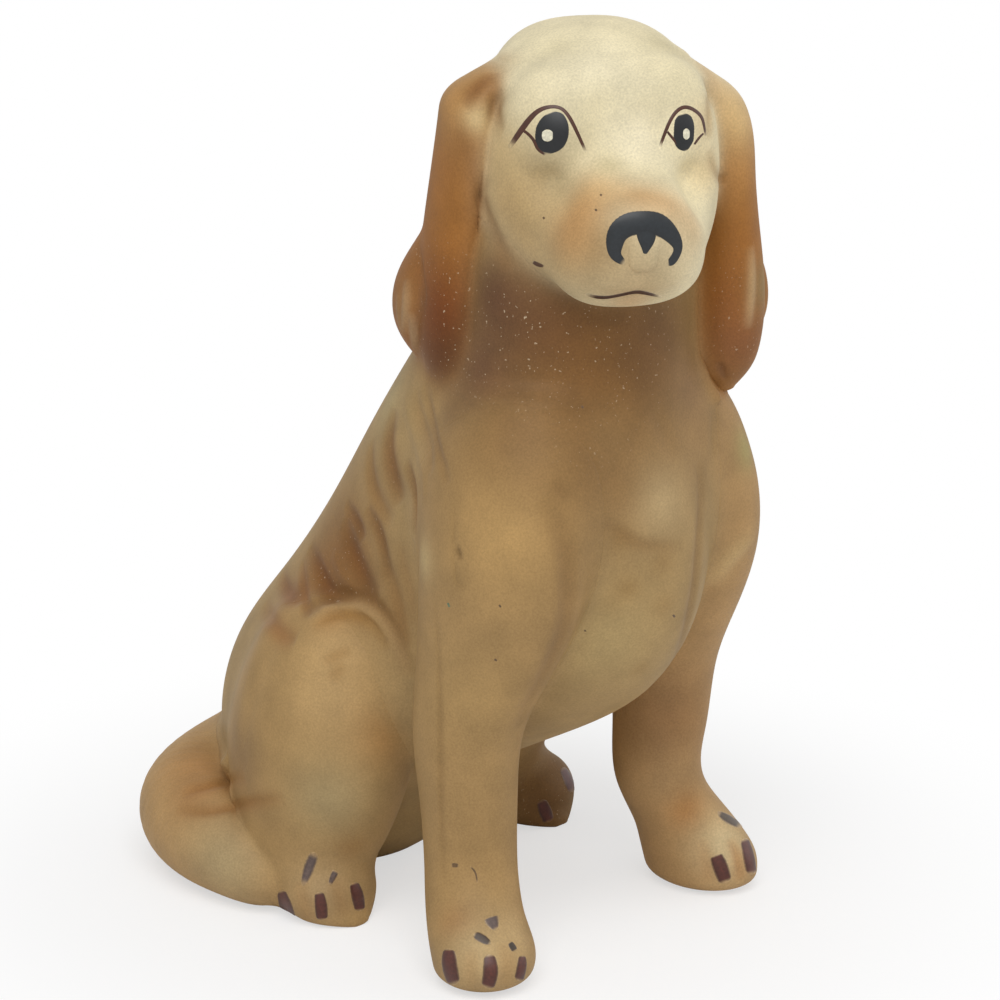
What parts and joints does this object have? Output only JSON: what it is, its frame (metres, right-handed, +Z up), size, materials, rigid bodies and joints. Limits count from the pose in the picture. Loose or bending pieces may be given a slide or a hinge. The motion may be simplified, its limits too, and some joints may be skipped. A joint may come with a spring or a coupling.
{
  "type": "seated dog figurine",
  "caption": "Seated long-eared spaniel figurine in matt airbrushed bisque, head turned to its right, hollow slip castings luted together",
  "frame": {"origin": "on the table, under the middle of the figure's bounding box", "axes": "+Z up from the table, -Y the way the dog's chest faces, +X the dog's left"},
  "size_m": [0.0816, 0.1175, 0.1596],
  "materials": {
    "bisque": "unglazed bisque, airbrushed in tan, orange-brown and cream",
    "enamel": "hand-painted dark enamel on eyes, nose, mouth and claws"
  },
  "bodies": {
    "root": {"torso": "bisque", "head": "bisque", "right_ear": "bisque", "left_ear": "bisque", "right_foreleg": "bisque", "left_foreleg": "bisque", "right_haunch": "bisque", "left_haunch": "bisque", "tail": "bisque"}
  },
  "joints": []
}
